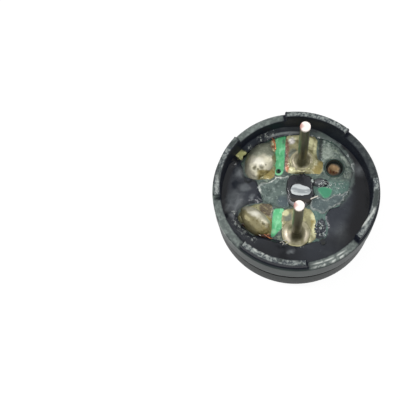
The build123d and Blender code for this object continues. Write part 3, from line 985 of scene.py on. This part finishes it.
# A dome of solder on each end of the coil: its pits are place and radius, its glint too
COIL_JOINTS = {
    "a": dict(place=(BOARD_SHIFT - 4.15, 3.5), turn=75, length=2.0, width=1.45, seed=31,
              glint=(-4.3, 3.1, 0.25),
              pits=[(-4.66, 2.5, 0.27), (-3.95, 2.66, 0.3), (-4.3, 2.4, 0.15), (-3.55, 2.9, 0.12)]),
    "b": dict(place=(BOARD_SHIFT - 4.12, -2.9), turn=-38, length=1.85, width=1.22, seed=37,
              glint=(-4.15, -2.35, 0.1), pits=[(-3.2, -3.3, 0.16)]),
}
# The pins, with the cone of solder on each: how strong the painted sheen on its sides and the painted
# highlight on its rim are
PINS = {
    "a": dict(place=(BOARD_SHIFT, 3.8), cone=1.2, cone_height=1.5, seed=51, blush=0.3, rim=0.9,
              wobble=61, foot=4.5, pale=0.1),
    "b": dict(place=(BOARD_SHIFT, -3.8), cone=1.42, cone_height=1.4, seed=57, blush=0.9, rim=0.5,
              wobble=67, foot=3.0, pale=0.7),
}


def from_joint(joint, p):
    """How far a place lies from a coil joint's outline, in rough millimetres, less than 0 inside it."""
    turn = math.radians(joint["turn"])
    dx, dy = p.x - joint["place"][0], p.y - joint["place"][1]
    along = dx * math.cos(turn) + dy * math.sin(turn)
    over = -dx * math.sin(turn) + dy * math.cos(turn)
    return 1.3 * (np.hypot(along / joint["length"], over / joint["width"]) - 1)


def make_pad(name, shore, seed, finish):
    side = name[-1]

    def height(p):
        inside = shore.inside(p) + p.uneven(0.06, 3, 3, seed)
        pool = 0.1 * (1 - np.exp(-np.maximum(inside, 0) / 0.12)) + 0.6 * np.minimum(inside, 0)
        bumps = p.uneven(0.06, 1.4, 5, seed + 1) * step(inside, 0, 0.3)
        is_pin = name.startswith("pin")
        away = p.away(PINS[side]["place"]) - 1.3 if is_pin else from_joint(COIL_JOINTS[side], p)
        foot = 0.16 * np.exp(-np.maximum(away, 0) / 0.22) * step(inside, 0, 0.25)
        return BOARD_TOP + np.minimum(pool + bumps + foot, from_edge(p))

    def spotted(spots):
        def mark(p):
            moved = p.moved(p.uneven(0.12, 3.0, 4, len(spots)))
            return 0.9 * most(*[moved.near(x, y, r, 0.25, squeeze) for x, y, r, squeeze in spots])

        return mark

    bm = sheet_over(shore, 0.06)
    raise_skin(bm, height, BOARD_TOP - 0.1)
    marks = {mark: spotted(spots) for mark, spots in PAD_SPOTS[name].items()}
    marks["dark"] = lambda p: 0.6 * fall(shore.inside(p), 0.0, 0.07)
    put_down(bm, name + "_tinned", finish, [name], marks)


# Solder: a dome on each end of the coil, and a hollow-sided cone up each pin


def make_coil_joint(side, finish):
    joint = COIL_JOINTS[side]
    seed, pits = joint["seed"], joint["pits"]
    bm = bmesh.new()
    bmesh.ops.create_icosphere(bm, subdivisions=6, radius=1.0)
    ball = [v.co for v in bm.verts]
    for v, big, small in zip(bm.verts, lumps(ball, 0.9, 2, seed), lumps(ball, 3.0, 3, seed + 1)):
        v.co *= 1 + 0.1 * big + 0.012 * small
        v.co.z = math.copysign(abs(v.co.z) ** 1.15, v.co.z)
    bmesh.ops.scale(bm, vec=(joint["length"], joint["width"], 1), verts=bm.verts)
    bmesh.ops.rotate(bm, matrix=Matrix.Rotation(math.radians(joint["turn"]), 3, "Z"), verts=bm.verts)
    bmesh.ops.translate(bm, vec=(*joint["place"], BOARD_TOP + 0.03), verts=bm.verts)
    for v in bm.verts:
        for x, y, radius in pits:
            away = math.hypot(v.co.x - BOARD_SHIFT - x, v.co.y - y)
            if v.co.z > BOARD_TOP and away < radius * 2:
                v.co.z -= 0.7 * radius * math.exp(-((away / radius) ** 2))
        v.co.z = max(v.co.z, BOARD_TOP - 0.25)

    def flux(p):
        p = p.on_board()
        ragged = p.uneven(0.3, 1.6, 4, seed)
        if side == "b":
            return 0.9 * step(0.75 * (p.x + 3.4) - 0.65 * (p.y + 3.3) + ragged, 0.1, 0.5)
        lower = fall(p.y - 0.12 * p.x - ragged, 2.65, 2.95) * step(p.x, -4.5, -4.1)
        return np.maximum(lower, 0.75 * step(p.x + ragged, -3.05, -2.75) * step(p.y, 3.0, 3.8))

    # Dome a's top is painted grey, a painted reflection of the dark wall behind it; dome b is greyer towards
    # its left end
    def grey(p):
        p = p.on_board()
        ragged = p.uneven(0.3, 1.4, 4, seed + 2)
        if side == "b":
            return 0.5 * fall(p.x - ragged, -5.5, -5.0)
        return 0.9 * step(p.y - 0.15 * (p.x + 4) + ragged, 3.5, 4.1)

    # Dome b's lower side is painted tan: painted shade
    def tan(p):
        p = p.on_board()
        across = 0.6 * (p.x + 4.12) + 0.8 * (p.y + 2.7)
        return 0.95 * fall(across - p.uneven(0.3, 1.4, 4, seed + 4), -0.2, 0.2)

    def pit(p):
        return 0.85 * most(*[p.near(x, y, r * 0.3, r * 0.8) for x, y, r in pits])

    def bright(p):
        return 0.85 * p.near(*joint["glint"], 0.7, 1.6) * (0.7 + p.uneven(0.3, 2.2, 4, seed))

    marks = [flux, grey, pit, bright] + [tan] * (side == "b")
    put_down(bm, f"coil_joint_{side}", finish, [f"coil_solder_{side}"], named(*marks))


def make_pin_joint(side, finish):
    """The solder wets the pin: its cone is hollow-sided, with a thick rounded foot."""
    pin = PINS[side]
    (x0, y0), outer, seed = pin["place"], pin["cone"], pin["seed"]
    low, waist = BOARD_TOP - 0.1, PIN_RADIUS - 0.02
    foot, top = BOARD_TOP + 0.3, BOARD_TOP + pin["cone_height"]
    neck, shoulder = waist + 0.04, outer - 0.2
    outline = [(waist, low), (outer, low), (outer + 0.02, foot - 0.1), (outer - 0.06, foot),
               (shoulder, foot - 0.02)]
    steps = 14
    for t in (i / steps * math.pi / 2 for i in range(1, steps + 1)):
        rise = (top - foot) * (1 - math.cos(t))
        outline.append((neck + (shoulder - neck) * (1 - math.sin(t)), foot - 0.02 + rise))
    outline.append((waist, top + 0.02))
    eased = [(outer + 0.02, foot - 0.1, 0.07, 3), (outer - 0.06, foot, 0.05, 3)]
    bm = turned(outline, 160, eased, pin["place"])
    cone = [v.co for v in bm.verts]
    for v, big, small in zip(bm.verts, lumps(cone, 0.6, 2, seed), lumps(cone, 1.6, 2, seed + 1)):
        away = Vector((v.co.x - x0, v.co.y - y0))
        if away.length > PIN_RADIUS + 0.05 and v.co.z > BOARD_TOP:
            share = min(1, (away.length - PIN_RADIUS) / 0.5)
            away *= 1 + share * (0.05 * big + 0.008 * small)
            v.co.x, v.co.y = x0 + away.x, y0 + away.y
            v.co.z += share * 0.015 * small

    def shadow(p):
        front = fall(p.y - y0, -0.4, 0.0)
        edge = p.away(pin["place"]) - p.uneven(0.1, 2.0, 3, seed)
        return (0.5 + 0.4 * front) * fall(edge, PIN_RADIUS + 0.1, PIN_RADIUS + 0.4)

    # Painted sheen on the cone's inner sides, to the left and right of the pin
    def blush(p):
        sides = np.maximum(fall(p.x - x0, -0.65, -0.35), 0.7 * step(p.x - x0, 0.7, 0.95))
        inner = fall(p.away(pin["place"]), outer - 0.25, outer - 0.12)
        return pin["blush"] * sides * fall(p.y - y0, -0.2, 0.5) * inner

    # A painted highlight along the lower arc of the foot
    def rim(p):
        low_arc = fall(p.y - y0, -outer * 0.7, -outer * 0.35)
        edge = band(p.away(pin["place"]), outer - 0.1, 0.04, 0.09) * step(p.z, foot - 0.12, foot - 0.06)
        return pin["rim"] * edge * np.maximum(low_arc, 0.2) * step(p.uneven(1, 1.2, 3, seed + 3), -0.4, 0.0)

    # Painted shade on the side of the foot, below its rounded top
    def olive(p):
        return 0.6 * fall(p.z, foot - 0.14, foot - 0.03)

    marks = named(shadow, blush, rim, olive)
    put_down(bm, f"pin_joint_{side}", finish, [f"pin_solder_{side}"], marks, sharp=60)


def make_pin(side, finish):
    """A straight wire with a head under the board and a thicker shank through it."""
    pin = PINS[side]
    x0, y0 = pin["place"]
    shank, head, shank_top, head_top = 0.52, 0.75, 5.05, PIN_LOW + 0.3
    bm = turned(
        [(0, PIN_LOW), (head, PIN_LOW), (head, head_top), (shank, head_top), (shank, shank_top),
         (PIN_RADIUS, shank_top), (PIN_RADIUS, PIN_TIP), (0, PIN_TIP)],
        64, [(PIN_RADIUS, PIN_TIP, 0.07, 3)], pin["place"],
    )
    cut_rings(bm, np.arange(shank_top + 0.3, PIN_TIP - 0.2, 0.25))
    wire = [v for v in bm.verts if v.co.z > shank_top + 0.01]
    for v, lump in zip(wire, lumps([v.co for v in wire], 1.1, 3, pin["wobble"])):
        away = Vector((v.co.x - x0, v.co.y - y0))
        v.co.x, v.co.y = x0 + away.x * (1 + 0.03 * lump), y0 + away.y * (1 + 0.03 * lump)
        if v.co.z > PIN_TIP - 0.01:
            v.co.z = PIN_TIP - 0.02 + 0.02 * lump - 0.03 * (away.length / PIN_RADIUS) ** 2

    # foot: painted shade, darker low down the shaft; pale: painted sheen, paler high up
    marks = {
        "cut": lambda p: step(p.z, PIN_TIP - 0.12, PIN_TIP - 0.07),
        "rust": lambda p: 0.8 * fall(p.x - x0, -0.42, -0.25) * step(p.z, PIN_TIP - 0.35, PIN_TIP - 0.1),
        "foot": lambda p: 0.7 * fall(p.z, BOARD_TOP + 1.0, BOARD_TOP + pin["foot"]),
        "pale": lambda p: pin["pale"] * step(p.z, 7.5, 11),
    }
    put_down(bm, f"pin_{side}_cut", finish, [f"pin_{side}"], marks, sharp=50)


# The core's riveted end, and the dark glue round it

CORE_BARE = Shore([
    (-0.92, 0.5), (-0.82, 0.98), (-0.4, 1.2), (0.4, 1.12), (1.05, 0.9), (1.15, 0.55), (0.95, 0.28),
    (0.4, 0.14), (-0.45, 0.1),
])
GLUE_DAB = Shore([
    (-1.35, 0.5), (-1.3, 1.5), (-0.75, 2.25), (0.5, 2.35), (1.15, 1.95), (1.4, 1.0), (1.5, 0.1),
    (1.1, -0.7), (0, -0.95), (-0.9, -0.6),
])


def make_core_end():
    low, high, radius = BOARD_TOP - 0.2, BOARD_TOP + 0.42, 1.15
    bm = turned(
        [(0, low), (radius, low), (radius, high - 0.12), (radius - 0.2, high), (0.5, high + 0.02), (0, high)],
        96, [(radius - 0.2, high, 0.08, 3)], (BOARD_SHIFT + 0.1, 0.42),
    )
    put_down(bm, "core_end", core_iron(), sharp=40)


def glue_height(p):
    ragged = p.uneven(0.12, 1.6, 4, 72)
    mound = 0.54 * (1 - np.exp(-np.maximum(GLUE_DAB.inside(p) + ragged, -0.1) / 0.07))
    beside = ((p.x - BOARD_SHIFT - 1.95) / 0.75) ** 2 + ((p.y - 1.7 + 0.5 * ragged) / 0.4) ** 2
    bare = CORE_BARE.inside(p) + p.uneven(0.06, 2.2, 3, 75)
    opening = np.maximum(0.46 - bare, 0.3)
    return BOARD_TOP - 0.04 + np.minimum(np.maximum(mound, 0.42 * np.exp(-beside ** 1.5)), opening)


def make_core_glue():
    bm = sheet_grid((-1.9, -2.0), (3.5, 3.3), 0.045)
    raise_skin(bm, glue_height, BOARD_TOP - 0.03)
    marks = {"grey": lambda p: p.near(1.9, 1.85, 0.4, 0.35), "brown": lambda p: fall(p.y, -0.5, -0.1)}
    put_down(bm, "glue_round_core", dark_glue(), ["core_glue"], marks)


# The vent: a dark sleeve on its wall, painted shade for the hole's shadowed wall, and a bronze dimple at its
# floor


def make_vent():
    low = BOARD_UNDER + 0.005
    walls = [(0.01, low), (0.01, BOARD_TOP + 0.02), (0.05, BOARD_TOP + 0.03), (0.09, BOARD_TOP - 0.12),
             (0.12, low + 0.15), (0.16, low)]
    # A dark sleeve on the hole's wall: painted shade
    lining = turned([(VENT_RADIUS - inset, z) for inset, z in walls], 96, place=VENT)
    lining_finish = plain("vent_lining", "1a2424", 0.25, grain=4, darker="2c3a38")
    put_down(lining, "vent_lining", lining_finish, sharp=60)
    dish = turned(
        [(0, low), (0.78, low), (0.76, low + 0.3), (0.6, low + 0.36), (0.4, low + 0.3),
         (0.24, low + 0.16), (0, low + 0.13)],
        72, [(0.6, low + 0.36, 0.04, 2)], VENT,
    )
    marks = {
        "red": lambda p: p.near(3.3, 3.2, 0.05, 0.22),
        # Painted glints on the dimple
        "bright": lambda p: most(0.8 * p.near(3.6, 3.3, 0.03, 0.14), 0.6 * p.near(3.42, 3.12, 0.02, 0.1)),
        "shade": lambda p: step(p.away(VENT) + p.uneven(0.15, 2.5, 3, 91), 0.42, 0.66),
    }
    put_down(dish, "vent_dimple", bronze(), marks=marks, sharp=60)


# Small things left by hand work: crumbs of glue, threads of flux, and the coil's wire ends

# Crumbs: middle, spread along X and Y, how many, and their size
CRUMBS = [
    (2.55, 1.55, 0.7, 0.35, 34, 0.045), (3.9, 1.5, 0.6, 0.3, 22, 0.04), (3.4, 0.5, 0.08, 0.06, 2, 0.06),
    (4.0, 0.66, 0.05, 0.04, 2, 0.075), (4.55, 0.88, 0.1, 0.05, 3, 0.055), (1.87, 0.05, 0.05, 0.05, 2, 0.09),
    (2.28, -0.12, 0.15, 0.08, 5, 0.05), (1.7, -0.35, 0.15, 0.05, 4, 0.05), (1.2, 1.75, 0.14, 0.16, 9, 0.07),
    (2.4, -2.75, 0.25, 0.35, 20, 0.055), (2.55, -3.6, 0.3, 0.3, 26, 0.05),
    (-4.04, 0.66, 0.12, 0.1, 6, 0.07), (-1.64, 0.5, 0.15, 0.35, 9, 0.05), (-5.5, -3.7, 0.25, 0.3, 8, 0.04),
    (1.95, 5.0, 0.08, 0.9, 14, 0.035), (2.6, 6.0, 0.5, 0.3, 10, 0.035), (0.3, -5.1, 0.5, 0.2, 5, 0.035),
]


def make_crumbs():
    chance = np.random.default_rng(7)
    bm = bmesh.new()
    for x, y, wide, deep, count, size in CRUMBS:
        for _ in range(count):
            px, py = x + BOARD_SHIFT + wide * chance.uniform(-1, 1), y + deep * chance.uniform(-1, 1)
            here = Places([(px, py, 0)])
            on_epoxy = WINDOW.inside(here)[0] < 0
            ground = epoxy_height(here)[0] if on_epoxy else max(BOARD_TOP + 0.06, glue_height(here)[0])
            made = bmesh.ops.create_icosphere(bm, subdivisions=1, radius=size * chance.uniform(0.6, 1.2))
            verts = made["verts"]
            stretch = (chance.uniform(0.7, 1.5), chance.uniform(0.7, 1.5), chance.uniform(0.6, 1.1))
            bmesh.ops.scale(bm, vec=stretch, verts=verts)
            bmesh.ops.rotate(bm, matrix=Matrix.Rotation(chance.uniform(0, math.tau), 3, "Z"), verts=verts)
            bmesh.ops.translate(bm, vec=(px, py, ground + size * 0.3), verts=verts)
    # The crumbs are coloured pale: painted glints on small drops of glue
    crumb_white = plain("pale_crumbs", "c3cbc6", 0.35, grain=9, darker="9aa39e")
    put_down(bm, "glue_crumbs", crumb_white, sharp=80)


# Threads: name, finish, slot, the CAD nodes replaced, radius, and the route over the board's top
THREADS = [
    ("flux_bead_b", "brown", "solder", [], 0.2, [
        (-5.3, -3.25, 0.05), (-4.6, -3.75, 0.22), (-3.7, -4.2, 0.2), (-2.9, -4.4, 0.12),
        (-2.45, -4.3, 0.02),
    ]),
    # A pale thread along the flux bead's lower edge: a painted highlight
    ("flux_line_b", "pale", "solder", [], 0.035, [
        (-5.0, -3.6, 0.32), (-4.4, -3.98, 0.42), (-3.9, -4.15, 0.4), (-3.4, -4.42, 0.33),
    ]),
    ("wire_line_b", "copper", "wire", [], 0.045, [
        (-3.3, -4.1, 0.38), (-2.9, -4.35, 0.3), (-2.5, -4.56, 0.15), (-2.3, -4.5, 0.05),
    ]),
    ("curl_one", "pale", "epoxy", [], 0.035, [
        (-1.25, -4.75, 0.3), (-1.0, -4.65, 0.42), (-0.7, -4.72, 0.42), (-0.65, -4.95, 0.36),
        (-0.95, -5.0, 0.32),
    ]),
    ("curl_two", "pale", "epoxy", [], 0.028, [
        (-1.5, -4.95, 0.3), (-1.3, -4.8, 0.38), (-1.1, -4.95, 0.36), (-1.2, -5.15, 0.32),
    ]),
    ("splinter", "pale", "epoxy", [], 0.06, [(1.15, -0.25, 0.46), (1.5, -0.05, 0.5), (1.85, 0.15, 0.4)]),
    ("coil_end_a", "dark", "wire", ["coil_lead_a"], 0.05, [
        (-2.25, 2.6, -0.6), (-2.25, 2.6, -0.2), (-2.4, 2.65, -0.03), (-2.8, 2.75, -0.03), (-3.2, 2.85, 0.3),
    ]),
    ("coil_end_b", "dark", "wire", ["coil_lead_b"], 0.05, [
        (-1.92, -2.86, -0.6), (-1.92, -2.86, -0.25), (-2.1, -2.86, -0.05), (-2.5, -2.85, -0.05),
        (-3.0, -2.85, 0.3),
    ]),
    ("copper_end_a", "copper", "wire", [], 0.06, [
        (-3.2, 6.15, 0.1), (-2.98, 5.9, 0.16), (-2.8, 5.4, 0.14), (-2.75, 4.9, 0.08),
    ]),
]


def make_thread(name, finish, nodes, radius, route):
    curve = bpy.data.curves.new(name, "CURVE")
    curve.dimensions = "3D"
    curve.bevel_depth = radius
    curve.bevel_resolution = 3
    curve.use_fill_caps = True
    spline = curve.splines.new("NURBS")
    spline.points.add(len(route) - 1)
    for point, (x, y, rise) in zip(spline.points, route):
        point.co = (x + BOARD_SHIFT, y, BOARD_TOP + rise, 1)
    spline.use_endpoint_u = True
    spline.order_u = 3
    spline.resolution_u = 6
    holder = bpy.data.objects.new(name, curve)
    mesh = bpy.data.meshes.new_from_object(holder)
    bpy.data.objects.remove(holder)
    bm = bmesh.new()
    bm.from_mesh(mesh)
    bmesh.ops.remove_doubles(bm, verts=bm.verts, dist=1e-4)
    put_down(bm, name, finish, nodes, sharp=60)


def make_threads():
    finishes = {
        "pale": plain("pale_thread", "d6d2c6", 0.25, grain=3, darker="b2ada0"),
        "brown": plain("brown_flux", "3a2418", 0.14, grain=2.5, darker="5c2f1d"),
        "copper": plain("copper_wire", "c9825c", 0.3, metal=0.8, grain=5, darker="a5603f"),
        "dark": plain("enamelled_wire", "2f4a35", 0.25, grain=5, darker="223026"),
    }
    for name, finish, slot, nodes, radius, route in THREADS:
        make_thread(name, finishes[finish], nodes, radius, route)


# Floor, light and camera

FLOOR_GAP = 0.01 * MM
LAMP_AIM = Vector((0, 0, 0.004))


def seen_directly(tree, *rays):
    """1 for the rays that show a surface as it is, so that the paper stays white for them."""
    path = add_node(tree, "LightPath", {})
    seen = path.outputs[rays[0]]
    for ray in rays[1:]:
        seen = add_node(tree, "Math", {0: seen, 1: path.outputs[ray]}, operation="MAXIMUM").outputs[0]
    return seen


def make_floor():
    """White paper that shows from above only, so that views from under show the sound face."""
    bm = bmesh.new()
    bmesh.ops.create_grid(bm, x_segments=1, y_segments=1, size=0.6)
    mesh = bpy.data.meshes.new("floor")
    bm.to_mesh(mesh)
    bm.free()
    floor = bpy.data.objects.new("floor", mesh)
    scene.collection.objects.link(floor)
    floor.location.z = cad_box[0].z - FLOOR_GAP
    material = bpy.data.materials.new("white_paper")
    material.use_nodes = True
    tree = material.node_tree
    paper = tree.nodes["Principled BSDF"]
    paper.inputs["Base Color"].default_value = (0.92, 0.92, 0.92, 1)
    paper.inputs["Roughness"].default_value = 0.9
    paper.inputs["Specular IOR Level"].default_value = 0.0
    glow = add_node(tree, "Emission", {"Strength": 1.05})
    seen = seen_directly(tree, "Is Camera Ray", "Is Glossy Ray")
    share = add_node(tree, "Math", {0: seen, 1: 0.82}, operation="MULTIPLY")
    lit = add_node(tree, "MixShader", {0: share.outputs[0], 1: paper.outputs[0], 2: glow.outputs[0]})
    under = add_node(tree, "NewGeometry", {}).outputs["Backfacing"]
    clear = add_node(tree, "BsdfTransparent", {})
    above = add_node(tree, "MixShader", {0: under, 1: lit.outputs[0], 2: clear.outputs[0]})
    tree.links.new(above.outputs[0], tree.nodes["Material Output"].inputs["Surface"])
    mesh.materials.append(material)


def make_world():
    world = bpy.data.worlds.new("studio")
    scene.world = world
    world.use_nodes = True
    tree = world.node_tree
    back = tree.nodes["Background"]
    back.inputs["Color"].default_value = (1, 1, 1, 1)
    seen = seen_directly(tree, "Is Camera Ray", "Is Glossy Ray", "Is Transmission Ray")
    level = add_node(tree, "MapRange", {"To Min": 0.72, "To Max": 1.0, "Value": seen})
    tree.links.new(level.outputs[0], back.inputs["Strength"])


def make_lamp(name, place, size, power):
    lamp = bpy.data.lights.new(name, "AREA")
    lamp.shape = "RECTANGLE"
    lamp.size, lamp.size_y = size
    lamp.energy = power
    holder = bpy.data.objects.new(name, lamp)
    scene.collection.objects.link(holder)
    holder.location = place
    holder.rotation_euler = (LAMP_AIM - Vector(place)).to_track_quat("-Z", "Y").to_euler()


def make_camera():
    """The camera that was fitted to the photograph: its turn is given by its three directions."""
    camera = bpy.data.cameras.new("camera")
    camera.lens = 71.876
    camera.sensor_width = 36
    camera.clip_start = 0.001
    holder = bpy.data.objects.new("camera", camera)
    scene.collection.objects.link(holder)
    right = (0.99014312, 0.11354358, -0.08200279, 0)
    up = (-0.08114738, 0.94226797, 0.32487871, 0)
    back = (0.1141565, -0.31502211, 0.94219391, 0)
    place = (-0.25780 * MM, -26.44610 * MM, 79.71051 * MM, 1)
    holder.matrix_world = Matrix((right, up, back, place)).transposed()
    scene.camera = holder


# Everything put together

make_cap()
make_housing()
make_potting()
make_film()
glue_finish, pad_finish = torn_glue(), tinned_pad()
for seed, (side, shore) in enumerate(GLUE_FILMS.items(), 81):
    make_glue_film(side, shore, seed, glue_finish)
for seed, (name, shore) in enumerate(PADS.items(), 41):
    make_pad(name, shore, seed, pad_finish)
solder_finish, cone_finish, pin_finish = solder(), fluxed_solder(), pin_metal()
for side in PINS:
    make_coil_joint(side, solder_finish)
    make_pin_joint(side, cone_finish)
    make_pin(side, pin_finish)
make_core_end()
make_core_glue()
make_vent()
make_crumbs()
make_threads()

NODE_FINISHES = {
    "circuit_board": board_mask(),
    "yoke_plate": plain("bronze_plated_yoke", "8c6b45", 0.35, metal=0.8, darker="5c4630"),
    "pole_core": plain("turned_iron", "8e9092", 0.35, metal=0.9, darker="6e7072"),
    "ring_magnet": plain("ferrite", "2c2c2e", 0.6, darker="232325"),
    "coil_winding": plain("enamelled_copper", "9c5a33", 0.35, metal=0.6, grain=14, darker="7a4426"),
    "coil_insulator": plain("fibre_washer", "6f6a55", 0.7),
    "diaphragm": plain("spring_steel", "8f9396", 0.3, metal=0.9),
    "armature_disc": plain("plated_disc", "a3a19a", 0.3, metal=0.9),
}
for node, material in NODE_FINISHES.items():
    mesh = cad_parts[node].data
    mesh.materials.clear()
    mesh.materials.append(material)

make_floor()
make_world()
make_lamp("left_box", (-0.17, 0.02, 0.15), (0.06, 0.1), 0.22)
make_lamp("front_box", (0.03, -0.19, 0.17), (0.1, 0.05), 0.2)
make_lamp("right_box", (0.17, 0.08, 0.14), (0.06, 0.1), 0.12)
make_camera()
scene.view_settings.view_transform = "Standard"
